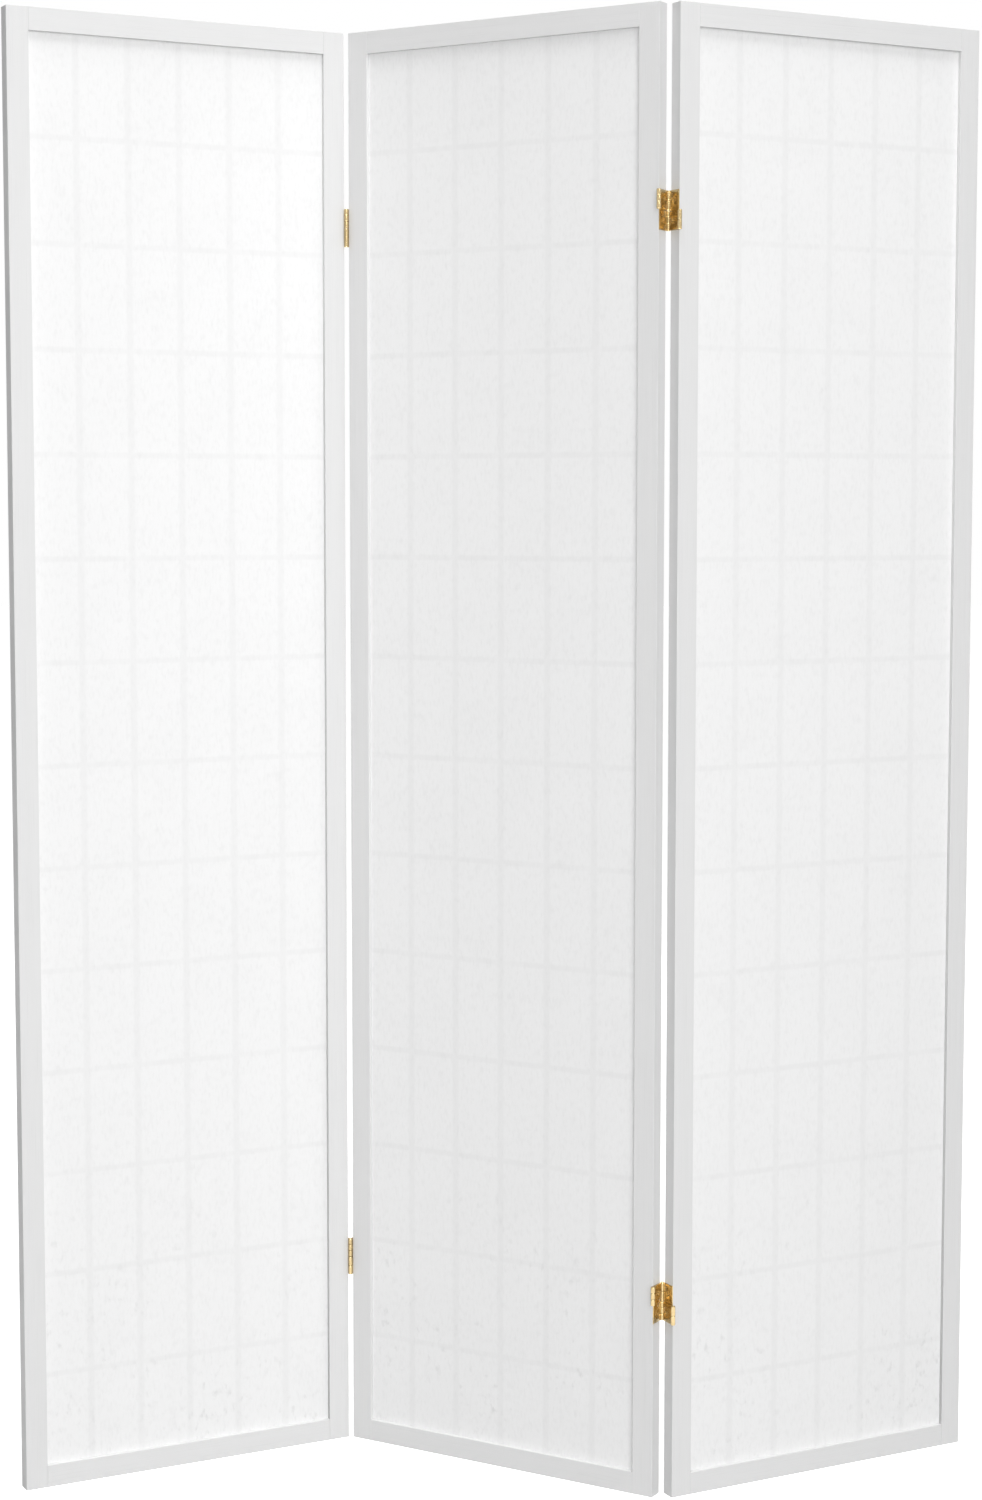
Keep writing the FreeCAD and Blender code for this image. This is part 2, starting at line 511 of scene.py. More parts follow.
def remember_place(mesh: Mesh, name: str, place: Callable[[Vector], Sequence[float]]) -> None:
    """Stores a vector on every vertex.

    Args:
        mesh: the mesh, still in its panel's own frame.
        name: the attribute's name.
        place: gives the vector of a vertex from its position.
    """
    attribute = mesh.attributes.new(name, "FLOAT_VECTOR", "POINT")
    for vertex, value in zip(mesh.vertices, attribute.data):
        value.vector = place(vertex.co)


# Finishes


@dataclass(frozen=True)
class PaintedWood:
    """Satin paint on planed timber, through which the grain shows as fine shallow lines. The lips' inner
    faces carry painted light on the left and below, and painted shade on the right and above.
    """

    name: str = "painted_wood"
    colour: Triple = (0.792, 0.792, 0.792)
    groove_colour: Triple = (0.735, 0.735, 0.735)
    # painted light and painted shade: the lamps' light and shade on the inner lip faces, put into the paint
    # colour
    painted_light_lip: Triple = (0.87, 0.87, 0.87)
    painted_shade_lip: Triple = (0.50, 0.50, 0.50)
    specular: float = 0.35
    grain_depth: float = 0.06 * MM
    peel_share: float = 0.15
    pores: Marks = Marks(900.0, 3.0, 0.6, along=0.012, low=0.5, high=0.72)
    bands: Marks = Marks(150.0, 2.0, along=0.012)
    orange_peel: Marks = Marks(1400.0, 1.0)
    dullness: Marks = Marks(14.0, 4.0, low=0.35, high=0.7, least=0.45, amount=0.57)

    def material(self) -> Material:
        """Builds the material, whose grain runs along the third axis of the grain attribute.

        Returns:
            The material.
        """
        graph = SurfaceGraph(self.name)
        place = graph.attribute(GRAIN_PLACE)
        pores = graph.marked(place, self.pores)
        shade = graph.math("MULTIPLY", graph.math("ADD", graph.cloud(place, self.bands), pores), 0.5)
        peel = graph.math("MULTIPLY", graph.cloud(place, self.orange_peel), self.peel_share)
        # painted light (x) and painted shade (y) on the lips' inner faces
        lips = graph.add("ShaderNodeSeparateXYZ", {0: graph.attribute(LIP_PAINTED_LIGHT_AND_SHADE)}).outputs
        paint = graph.mixed(shade, self.colour, self.groove_colour)
        paint = graph.mixed(lips["X"], paint, self.painted_light_lip)
        paint = graph.mixed(lips["Y"], paint, self.painted_shade_lip)
        return graph.finish_with(graph.out("ShaderNodeBsdfPrincipled", {
            "Base Color": paint,
            "Roughness": graph.marked(place, self.dullness),
            "Specular IOR Level": self.specular,
            "Normal": graph.bump(graph.math("SUBTRACT", peel, pores), self.grain_depth),
        }))


@dataclass(frozen=True)
class RicePaper:
    """Fibrous white paper that lets a little light through, darker over the lattice's bars: glue lines with a
    painted shadow of the bars behind.
    """

    name: str = "rice_paper"
    colour: Triple = (0.955, 0.955, 0.955)
    fleck_colour: Triple = (0.90, 0.90, 0.90)
    speck_colour: Triple = (0.80, 0.80, 0.80)
    # painted shadow of the bars behind the sheet, together with the glue lines
    bar_shadow_and_glue_colour: Triple = (0.84, 0.84, 0.84)
    see_through: float = 0.04
    roughness: float = 0.85
    specular: float = 0.2
    relief: float = 0.05 * MM
    flecks: Marks = Marks(420.0, 3.0, 0.65, along=0.35, low=0.45, high=0.75, amount=0.38)
    strands: Marks = Marks(700.0, 2.0, along=0.08, low=0.56, high=0.72, amount=0.2)
    blotches: Marks = Marks(300.0, 4.0, 0.6, along=0.35, low=0.45, high=0.7, amount=0.62)
    clouds: Marks = Marks(14.0, 3.0, low=0.4, high=0.7, amount=0.2)
    specks: Marks = Marks(130.0, 3.0, along=0.6, low=0.56, high=0.76, amount=0.9)
    speck_patches: Marks = Marks(9.0, 2.0, low=0.42, high=0.62, least=0.1)
    specked_height: float = 0.45
    specks_above: float = 0.2
    bar_shadow_and_glue_patches: Marks = Marks(22.0, 2.0, low=0.35, high=0.65, least=0.6, amount=1.1)
    bar_shadow_and_glue_strength: float = 0.30
    bar_line_core: float = 0.3
    bar_line_edge: float = 0.8

    def material(self, cells: "LatticeSizes") -> Material:
        """Builds the material.

        Args:
            cells: where the lattice's bars lie behind the sheet.

        Returns:
            The material, which reads the sheet attribute.
        """
        graph = SurfaceGraph(self.name)
        place = graph.attribute(SHEET_PLACE)
        axes = graph.add("ShaderNodeSeparateXYZ", {0: place}).outputs
        flecks, strands = graph.cloud(place, self.flecks), graph.cloud(place, self.strands)
        marks = graph.math("ADD", graph.shown(flecks, self.flecks), graph.shown(strands, self.strands))
        for kind in (self.blotches, self.clouds):
            marks = graph.math("ADD", marks, graph.marked(place, kind))
        uprights = self.bars(graph, axes["X"], cells.first_upright, cells.upright_pitch, cells.upright_width)
        crossbars = self.bars(graph, axes["Z"], cells.first_crossbar, cells.crossbar_pitch,
                              cells.crossbar_width)
        crossbars = graph.math("MULTIPLY", crossbars, graph.marked(place, self.bar_shadow_and_glue_patches))
        fewer = graph.ramp(axes["Z"], 0.0, self.specked_height, 1.0, self.specks_above)
        fewer = graph.math("MULTIPLY", graph.marked(place, self.speck_patches), fewer)
        specks = graph.math("MULTIPLY", graph.marked(place, self.specks), fewer)
        colour = graph.mixed(marks, self.colour, self.fleck_colour)
        colour = graph.mixed(specks, colour, self.speck_colour)
        # over the bars: glue lines with a painted shadow of the bars behind the sheet
        colour = graph.mixed(graph.math("MAXIMUM", uprights, crossbars), colour, self.bar_shadow_and_glue_colour)
        normal = graph.bump(graph.math("ADD", flecks, strands), self.relief)
        front = graph.out("ShaderNodeBsdfPrincipled", {
            "Base Color": colour, "Roughness": self.roughness, "Specular IOR Level": self.specular,
            "Normal": normal})
        through = graph.out("ShaderNodeBsdfTranslucent", {"Color": colour, "Normal": normal})
        mixed = graph.out("ShaderNodeMixShader", {0: self.see_through, 1: front, 2: through})
        return graph.finish_with(mixed)

    def bars(self, graph: SurfaceGraph, along: Socket, first: float, pitch: float, width: float) -> Socket:
        """A factor that is highest over bars at an even pitch.

        Args:
            graph: the material's graph.
            along: the coordinate across the bars.
            first: the first bar's middle.
            pitch: from one bar to the next.
            width: a bar's width.

        Returns:
            The factor, 0 between the bars.
        """
        turns = graph.math("DIVIDE", graph.math("SUBTRACT", along, first), pitch)
        apart = graph.math("MULTIPLY", graph.math("PINGPONG", turns, 0.5), pitch)
        # strength of the glue lines and painted bar shadow, fading from the bar's core to its edge
        return graph.ramp(apart, self.bar_line_core * width, self.bar_line_edge * width, self.bar_shadow_and_glue_strength, 0.0)


@dataclass(frozen=True)
class PaperFibre:
    """The long pale strands that lie in the paper's surface."""

    name: str = "paper_fibre"
    colour: Triple = (0.94, 0.94, 0.935)
    darker_colour: Triple = (0.9024, 0.9024, 0.8976)
    roughness: float = 0.7
    specular: float = 0.3
    shades: Marks = Marks(300.0, 2.0)

    def material(self) -> Material:
        """Builds the material.

        Returns:
            The material.
        """
        graph = SurfaceGraph(self.name)
        place = graph.add("ShaderNodeTexCoord").outputs["Object"]
        colour = graph.mixed(graph.cloud(place, self.shades), self.colour, self.darker_colour)
        return graph.finish_with(graph.out("ShaderNodeBsdfPrincipled", {
            "Base Color": colour, "Roughness": self.roughness, "Specular IOR Level": self.specular}))


@dataclass(frozen=True)
class Brass:
    """Stamped and rolled brass sheet, polished, with a little tarnish."""

    name: str = "brass"
    colour: Triple = (0.60, 0.465, 0.25)
    tarnish_colour: Triple = (0.38, 0.285, 0.14)
    relief: float = 0.012 * MM
    streak_share: float = 0.3
    tarnish: Marks = Marks(70.0, 4.0, 0.6, low=0.4, high=0.66, amount=0.6)
    dullness: Marks = Marks(70.0, 4.0, 0.6, low=0.3, high=0.8, least=0.14, amount=0.34)
    streaks: Marks = Marks(2600.0, 2.0, along=0.1)
    dents: Marks = Marks(500.0, 2.0)

    def material(self) -> Material:
        """Builds the material.

        Returns:
            The material.
        """
        graph = SurfaceGraph(self.name)
        place = graph.add("ShaderNodeTexCoord").outputs["Object"]
        streaks = graph.math("MULTIPLY", graph.cloud(place, self.streaks), self.streak_share)
        height = graph.math("ADD", streaks, graph.cloud(place, self.dents))
        return graph.finish_with(graph.out("ShaderNodeBsdfPrincipled", {
            "Base Color": graph.mixed(graph.marked(place, self.tarnish), self.colour, self.tarnish_colour),
            "Metallic": 1.0,
            "Roughness": graph.marked(place, self.dullness),
            "Normal": graph.bump(height, self.relief),
        }))


# Sizes and places


@dataclass(frozen=True)
class PanelSizes:
    """Sizes of one panel's timber and paper."""

    width: float = 431.8 * MM
    height: float = 1784.35 * MM
    thickness: float = 19.05 * MM
    stile_width: float = 27.0 * MM
    rail_width: float = 27.3 * MM
    lip: float = 6.0 * MM
    stile_rabbet: float = 6.0 * MM
    rail_rabbet: float = 8.0 * MM
    paper_thickness: float = 0.3 * MM
    paper_edge_gap: float = 1.0 * MM

    @property
    def stile_back(self) -> float:
        """The stile's width behind the lip."""
        return self.stile_width - self.stile_rabbet

    @property
    def rail_back(self) -> float:
        """The rail's width behind the lip."""
        return self.rail_width - self.rail_rabbet

    @property
    def paper_back(self) -> float:
        """Depth of the paper's back face."""
        return self.lip + self.paper_thickness


@dataclass(frozen=True)
class LatticeSizes:
    """Sizes of the bars behind the paper."""

    panel: PanelSizes
    upright_count: int = 5
    upright_width: float = 7.5 * MM
    crossbar_count: int = 13
    crossbar_width: float = 6.0 * MM
    crossbar_drop: float = 4.9 * MM
    depth: float = 7.5 * MM
    end_gap: float = 0.3 * MM
    joint_gap: float = 0.06 * MM
    ease: float = 0.3 * MM

    @property
    def upright_pitch(self) -> float:
        """From one upright's middle to the next."""
        return (self.panel.width - 2 * self.panel.stile_back) / (self.upright_count + 1)

    @property
    def crossbar_pitch(self) -> float:
        """From one crossbar's middle to the next."""
        return (self.panel.height - 2 * self.panel.rail_back) / (self.crossbar_count + 1)

    @property
    def first_upright(self) -> float:
        """The leftmost upright's middle."""
        return self.panel.stile_back + self.upright_pitch

    @property
    def first_crossbar(self) -> float:
        """The lowest crossbar's middle."""
        return self.panel.rail_back + self.crossbar_pitch - self.crossbar_drop


@dataclass(frozen=True)
class HingeSizes:
    """Sizes of a two-way hinge."""

    panel: PanelSizes
    height: float = 46.8 * MM
    centre_from_end: float = 239.0 * MM
    sheet: float = 1.0 * MM
    panel_gap: float = 3.2 * MM
    pin_radius: float = 1.7 * MM
    bore_radius: float = 1.75 * MM
    barrel_radius: float = 2.75 * MM
    stand_off: float = 3.0 * MM
    plate_edge_gap: float = 0.15 * MM
    knuckle_gap: float = 0.15 * MM
    middle_gap: float = 0.5 * MM
    tab: float = 0.95 * MM
    screw_from_middle: float = 12.5 * MM
    screw_head: float = 3.1 * MM
    access_hole: float = 3.6 * MM
    left_knuckles: int = 3
    right_knuckles: int = 2

    def barrel_y(self, front: bool) -> float:
        """Depth of a barrel's axis, ahead of the panel or behind it."""
        return -self.stand_off if front else self.panel.thickness + self.stand_off

    @property
    def barrel_length(self) -> float:
        """Length of the barrel in one half of the hinge."""
        return (self.height - self.middle_gap) / 2

    def knuckle_length(self, count: int) -> float:
        """Length of each knuckle where a barrel has that many."""
        return (self.barrel_length - (count - 1) * self.knuckle_gap) / count

    def knuckle_middle(self, half: int, count: int, place: int) -> float:
        """Height of a knuckle's middle above the hinge's, for half 1 above it or -1 below it."""
        length = self.knuckle_length(count)
        return half * (self.middle_gap / 2 + place * (length + self.knuckle_gap) + length / 2)


@dataclass(frozen=True)
class PanelPlace:
    """Where a panel stands."""

    body: str
    origin: Vector
    yaw: float

    @property
    def matrix(self) -> Matrix:
        """From the panel's own frame to the screen's."""
        return Matrix.Translation(self.origin) @ Matrix.Rotation(self.yaw, 4, "Z")

    @classmethod
    def hung(cls, body: str, yaw: float, own_axis: Vector, axis: Vector) -> "PanelPlace":
        """The place at which a point of the panel's own frame comes onto a given one."""
        turned = Matrix.Rotation(yaw, 3, "Z") @ own_axis
        return cls(body, axis - turned, yaw)


@dataclass(frozen=True)
class Layout:
    """Places of the three panels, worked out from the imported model's two hinge axes."""

    panel: PanelSizes
    hinge: HingeSizes

    def places(self) -> list[PanelPlace]:
        """The left, middle and right panel's places.

        Returns:
            The three places, from the left.
        """
        joints = {joint["name"]: joint for joint in frame["joints"]}
        left, right = joints["left_fold"], joints["right_fold"]
        left_axis, right_axis = (Vector((*j["pos_m"][:2], 0)) for j in (left, right))
        gap = self.hinge.panel_gap / 2
        before_left = Vector((-gap, self.hinge.barrel_y(True), 0))
        past_right = Vector((self.panel.width + gap, self.hinge.barrel_y(False), 0))
        own, real = past_right - before_left, right_axis - left_axis
        yaw = math.atan2(real.y, real.x) - math.atan2(own.y, own.x)
        middle = PanelPlace.hung(right["parent"], yaw, before_left, left_axis)
        left_yaw, right_yaw = (yaw - math.radians(j["range_deg"][0]) for j in (left, right))
        own_left = Vector((self.panel.width + gap, self.hinge.barrel_y(True), 0))
        own_right = Vector((-gap, self.hinge.barrel_y(False), 0))
        return [
            PanelPlace.hung(left["child"], left_yaw, own_left, left_axis),
            middle,
            PanelPlace.hung(right["child"], right_yaw, own_right, right_axis),
        ]


# Pieces


def show(name: str, mesh: Mesh, material: Material, place: PanelPlace, slot: Slot,
         *nodes: str) -> bpy.types.Object:
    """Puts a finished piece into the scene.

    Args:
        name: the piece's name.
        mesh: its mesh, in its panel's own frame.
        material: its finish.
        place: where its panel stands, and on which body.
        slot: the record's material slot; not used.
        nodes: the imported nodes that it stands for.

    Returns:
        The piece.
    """
    mesh.transform(place.matrix)
    mesh.materials.clear()
    mesh.materials.append(material)
    mesh.name = name
    piece = linked(name, mesh)
    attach(piece, place.body)
    if nodes:
        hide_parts(*nodes)
    log.info("%s: %d faces on %s", name, len(mesh.polygons), place.body)
    return piece


@dataclass
class PanelFrame:
    """The four painted timbers round a panel."""

    sizes: PanelSizes
    place: PanelPlace
    paint: Material
    seed: float
    ease: float = 0.55 * MM
    segments: int = 3
    grain_shift: Triple = (0.37, 0.53, 0.71)
    tolerance: float = 0.05 * MM

    def build(self) -> None:
        """Makes the stiles and rails."""
        for number, side in enumerate(Side):
            self.dress(f"{side.value}_stile", self.stile(side), number, lambda p: (p.x, p.y, p.z))
        for number, end in enumerate(End):
            self.dress(f"{end.value}_rail", self.rail(end), number + 2, lambda p: (p.z, p.y, p.x))

    def stile(self, side: Side) -> Mesh:
        """A stile with its rabbet towards the middle of the panel.

        Args:
            side: which stile.

        Returns:
            Its sharp-edged mesh.
        """
        s = self.sizes
        steps = [0, s.stile_back, s.stile_width]
        if side is Side.RIGHT:
            steps = [s.width - step for step in reversed(steps)]
        rabbet = 1 if side is Side.LEFT else 0
        depths = [0, s.lip, s.thickness]
        return blocks(steps, depths, [0, s.height], lambda i, j, k: not (i == rabbet and j == 1))

    def rail(self, end: End) -> Mesh:
        """A rail whose back part fills the stiles' rabbets.

        Args:
            end: which rail.

        Returns:
            Its sharp-edged mesh.
        """
        s = self.sizes
        across = [s.stile_back, s.stile_width, s.width - s.stile_width, s.width - s.stile_back]
        heights = [0, s.rail_back, s.rail_width]
        if end is End.TOP:
            heights = [s.height - h for h in reversed(heights)]
        rabbet = 1 if end is End.BOTTOM else 0
        return blocks(across, [0, s.lip, s.thickness], heights,
                      lambda i, j, k: i == 1 if j == 0 else k != rabbet)

    def dress(self, name: str, mesh: Mesh, number: int,
              along_grain: Callable[[Vector], Sequence[float]]) -> None:
        """Rounds a timber's arrises, gives it its own grain and its painted light and shade on the lips, and
        shows it.

        Args:
            name: the timber's name within the panel.
            mesh: its sharp-edged mesh.
            number: which timber of the panel it is.
            along_grain: puts the direction of the grain third.
        """
        mesh = eased(mesh, self.ease, self.segments)
        shift = Vector(self.grain_shift) * (self.seed + number)
        remember_place(mesh, GRAIN_PLACE, lambda p: Vector(along_grain(p)) + shift)
        # painted light and shade on the lips' inner faces
        remember_place(mesh, LIP_PAINTED_LIGHT_AND_SHADE, self.lip_painted_light_and_shade)
        node = f"{self.place.body}_{name}"
        show(f"painted_{node}", mesh, self.paint, self.place, Slot.PAINTED_WOOD, node)

    def lip_painted_light_and_shade(self, place: Vector) -> Sequence[float]:
        """How much painted light and painted shade the lips' inner faces get.

        Args:
            place: a point of the frame.

        Returns:
            Painted light on x for the left and lower lips, painted shade on y for the right and upper ones.
        """
        s, close = self.sizes, self.tolerance
        on_lip = close < place.y < s.lip - close
        low = min(place.x - s.stile_width, place.z - s.rail_width)
        high = min(s.width - s.stile_width - place.x, s.height - s.rail_width - place.z)
        return (float(on_lip and abs(low) < close), float(on_lip and abs(high) < close), 0.0)


@dataclass
class PaperSheet:
    """The sheet of rice paper, a little cockled between the bars that it is glued to."""

    sizes: PanelSizes
    cells: LatticeSizes
    place: PanelPlace
    paper: Material
    strand: Material
    seed: int
    cockle: float = 0.28 * MM
    wander_middle: float = 0.65
    wander_reach: float = 0.5
    wander_scale: Triple = (9.0, 6.0, 3.1)
    flat_edge: float = 12.0 * MM
    crease: float = math.radians(60)
    pattern_shift: float = 0.5
    steps_across: int = 48
    steps_up: int = 140
    fibre_density: float = 330.0
    fibre_length: float = 11.0 * MM
    fibre_width: float = 0.16 * MM
    fibre_relief: float = 0.04 * MM
    fibre_bend: float = 0.45
    fibre_segments: int = 5
    fibre_sides: int = 4
    fibre_least_turn: Triple = (-0.15, -1.1, -0.05)
    fibre_most_turn: Triple = (0.0, 1.1, 0.05)
    fibre_scales: tuple[float, float] = (0.35, 1.5)
    fibre_scale_seed: float = 7.0

    def build(self) -> None:
        """Makes the sheet and the strands in it."""
        mesh = self.sheet()
        shift = self.pattern_shift * self.seed
        remember_place(mesh, SHEET_PLACE, lambda p: (p.x, p.y + shift, p.z))
        node = f"{self.place.body}_rice_paper"
        smoothed(mesh, self.crease)
        show(f"fibrous_{node}", mesh, self.paper, self.place, Slot.RICE_PAPER, node)
        show(f"strands_in_{node}", self.strands(), self.strand, self.place, Slot.RICE_PAPER)

    def low_corner(self) -> Vector:
        """The sheet's lower left corner."""
        s = self.sizes
        return Vector((s.stile_back + s.paper_edge_gap, s.lip, s.rail_back + s.paper_edge_gap))

    def high_corner(self) -> Vector:
        """The sheet's upper right corner."""
        s, low = self.sizes, self.low_corner()
        return Vector((s.width - low.x, s.lip, s.height - low.z))

    def bulge(self, x: float, z: float) -> float:
        """How far the sheet stands forward of its glue line at a place, from 0 at bars and edges.

        Args:
            x: the place across the panel.
            z: its height.

        Returns:
            The distance.
        """
        s, c = self.sizes, self.cells
        edge = min(x - s.stile_width, s.width - s.stile_width - x,
                   z - s.rail_width, s.height - s.rail_width - z)
        if edge <= 0:
            return 0.0
        across = abs(math.sin(math.pi * (x - c.first_upright) / c.upright_pitch))
        up = abs(math.sin(math.pi * (z - c.first_crossbar) / c.crossbar_pitch))
        spot = Vector(scale * value for scale, value in zip(self.wander_scale, (x, z, self.seed)))
        wander = self.wander_middle + self.wander_reach * noise.noise(spot)
        return self.cockle * across * up * wander * min(1.0, edge / self.flat_edge)

    def sheet(self) -> Mesh:
        """The closed sheet: a front and a back grid joined round the edge.

        Returns:
            The mesh.
        """
        low, high = self.low_corner(), self.high_corner()
        bm = bmesh.new()
        grids = []
        for depth in (0.0, self.sizes.paper_thickness):
            rows = []
            for k in range(self.steps_up + 1):
                z = low.z + (high.z - low.z) * k / self.steps_up
                xs = [low.x + (high.x - low.x) * i / self.steps_across
                      for i in range(self.steps_across + 1)]
                rows.append([bm.verts.new((x, low.y + depth - self.bulge(x, z), z)) for x in xs])
            grids.append(rows)
        for back, rows in enumerate(grids):
            for k, i in product(range(self.steps_up), range(self.steps_across)):
                ring = [rows[k][i], rows[k][i + 1], rows[k + 1][i + 1], rows[k + 1][i]]
                bm.faces.new(ring[::-1] if back else ring)
        front, back = grids
        for k in range(self.steps_up):
            bm.faces.new((front[k][0], front[k + 1][0], back[k + 1][0], back[k][0]))
            bm.faces.new((front[k + 1][-1], front[k][-1], back[k][-1], back[k + 1][-1]))
        for i in range(self.steps_across):
            bm.faces.new((front[0][i + 1], front[0][i], back[0][i], back[0][i + 1]))
            bm.faces.new((front[-1][i], front[-1][i + 1], back[-1][i + 1], back[-1][i]))
        return meshed("sheet", bm)

    def strands(self) -> Mesh:
        """Long pale strands, scattered over the sheet's front and half sunk in it.

        Returns:
            The mesh of all of them.
        """
        graph = ShapeGraph("paper_strands", {
            "Density": self.fibre_density, "Length": self.fibre_length, "Width": self.fibre_width,
            "Seed": self.seed, "Finish": self.strand,
        })
        given = graph.given
        half = graph.math("MULTIPLY", given["Length"], 0.5)
        line = graph.out("GeometryNodeCurveQuadraticBezier", {
            "Resolution": self.fibre_segments,
            "Start": graph.out("ShaderNodeCombineXYZ", {"Z": graph.math("MULTIPLY", half, -1.0)}),
            "Middle": graph.out("ShaderNodeCombineXYZ", {"X": graph.math("MULTIPLY", half, self.fibre_bend)}),
            "End": graph.out("ShaderNodeCombineXYZ", {"Z": half}),
        })
        radius = graph.math("MULTIPLY", given["Width"], 0.5)
        profile = graph.out("GeometryNodeCurvePrimitiveCircle", {
            "Resolution": self.fibre_sides, "Radius": radius}, mode="RADIUS")
        thread = graph.out("GeometryNodeCurveToMesh", {0: line, 1: profile, "Fill Caps": True})
        points = graph.add("GeometryNodeDistributePointsOnFaces", {
            "Mesh": given["Geometry"], "Density": given["Density"], "Seed": given["Seed"]}).outputs["Points"]
        turn = graph.out("FunctionNodeRandomValue", {
            0: self.fibre_least_turn, 1: self.fibre_most_turn, "Seed": given["Seed"]},
            data_type="FLOAT_VECTOR")
        least, most = self.fibre_scales
        scale_seed = graph.math("ADD", given["Seed"], self.fibre_scale_seed)
        size = graph.add("FunctionNodeRandomValue", {
            2: least, 3: most, "Seed": scale_seed}, data_type="FLOAT").outputs[1]
        graph.end(graph.out("GeometryNodeInstanceOnPoints", {
            "Points": points, "Instance": thread, "Rotation": turn, "Scale": size}))
        mesh = graph.applied_to(self.bed())
        for vertex in mesh.vertices:
            off_line = vertex.co.y - self.sizes.lip
            flat = max(-self.fibre_relief, min(self.fibre_relief, off_line))
            vertex.co.y = self.sizes.lip - self.bulge(vertex.co.x, vertex.co.z) + flat
        return smoothed(mesh)

    def bed(self) -> Mesh:
        """The flat face on which strands start, a strand's length inside the opening.

        Returns:
            The mesh.
        """
        s, rim = self.sizes, self.fibre_length
        left, right = s.stile_width + rim, s.width - s.stile_width - rim
        low, high = s.rail_width + rim, s.height - s.rail_width - rim
        bm = bmesh.new()
        corners = ((left, low), (right, low), (right, high), (left, high))
        bm.faces.new([bm.verts.new((x, s.lip, z)) for x, z in corners])
        return meshed("bed", bm)


@dataclass
class Lattice:
    """The half-lapped bars behind the paper."""

    sizes: PanelSizes
    cells: LatticeSizes
    place: PanelPlace
    paint: Material
    seed: float
    ease_segments: int = 2
    grain_shift: Triple = (0.61, 0.17, 0.29)

    def build(self) -> None:
        """Makes the uprights, notched at the back, and the crossbars, notched at the front."""
        s, c = self.sizes, self.cells
        end = s.rail_back + c.end_gap
        upright = self.bar(end, s.height - end, c.first_crossbar, c.crossbar_pitch, c.crossbar_count,
                           c.crossbar_width, c.upright_width, notched_half=1)
        upright.transform(Matrix.Translation((c.first_upright, 0, 0)))
        row = self.repeated("lattice_uprights", upright, c.upright_count, (c.upright_pitch, 0.0, 0.0))
        self.dress("lattice_uprights", row, lambda p: (p.x, p.y, p.z))
        side = s.stile_back + c.end_gap
        crossbar = self.bar(side, s.width - side, c.first_upright, c.upright_pitch, c.upright_count,
                            c.upright_width, c.crossbar_width, notched_half=0)
        lie_down = Matrix(((0, 0, 1, 0), (0, 1, 0, 0), (-1, 0, 0, c.first_crossbar), (0, 0, 0, 1)))
        crossbar.transform(lie_down)
        stack = self.repeated("lattice_crossbars", crossbar, c.crossbar_count, (0.0, 0.0, c.crossbar_pitch))
        self.dress("lattice_crossbars", stack, lambda p: (p.z, p.y, p.x))

    def bar(self, start: float, end: float, first: float, pitch: float, count: int, notch: float,
            width: float, notched_half: int) -> Mesh:
        """One bar along z with a notch wherever another bar crosses it.

        Args:
            start: the bar's lower end.
            end: its upper end.
            first: the lowest notch's middle.
            pitch: from one notch to the next.
            count: how many notches.
            notch: the crossing bars' width.
            width: this bar's width.
            notched_half: 0 for notches at the front, 1 for notches at the back.

        Returns:
            The mesh.
        """
        reach = notch / 2 + self.cells.joint_gap
        middles = [first + pitch * i for i in range(count)]
        heights = [start, *(z + side for z in middles for side in (-reach, reach)), end]
        front = self.sizes.paper_back
        depths = [front, front + self.cells.depth / 2, front + self.cells.depth]
        mesh = blocks([-width / 2, width / 2], depths, heights,
                      lambda i, j, k: not (j == notched_half and k % 2 == 1))
        return eased(mesh, self.cells.ease, self.ease_segments)

    def repeated(self, name: str, bar: Mesh, count: int, step: Triple) -> Mesh:
        """A row of copies of one bar, made by a geometry tree.

        Args:
            name: the tree's name.
            bar: the first bar.
            count: how many bars.
            step: from one bar to the next.

        Returns:
            The mesh of the row.
        """
        graph = ShapeGraph(name, {"Count": count, "Step": step, "Finish": self.paint})
        graph.end_with_row(graph.given["Geometry"], graph.given["Step"])
        return graph.applied_to(bar)

    def dress(self, name: str, mesh: Mesh, along_grain: Callable[[Vector], Sequence[float]]) -> None:
        """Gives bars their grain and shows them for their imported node.

        Args:
            name: the bars' name within the panel.
            mesh: the bars.
            along_grain: puts the direction of the grain third.
        """
        shift = Vector(self.grain_shift) * self.seed
        remember_place(mesh, GRAIN_PLACE, lambda p: Vector(along_grain(p)) + shift)
        node = f"{self.place.body}_{name}"
        show(f"half_lapped_{node}", mesh, self.paint, self.place, Slot.LATTICE_WOOD, node)


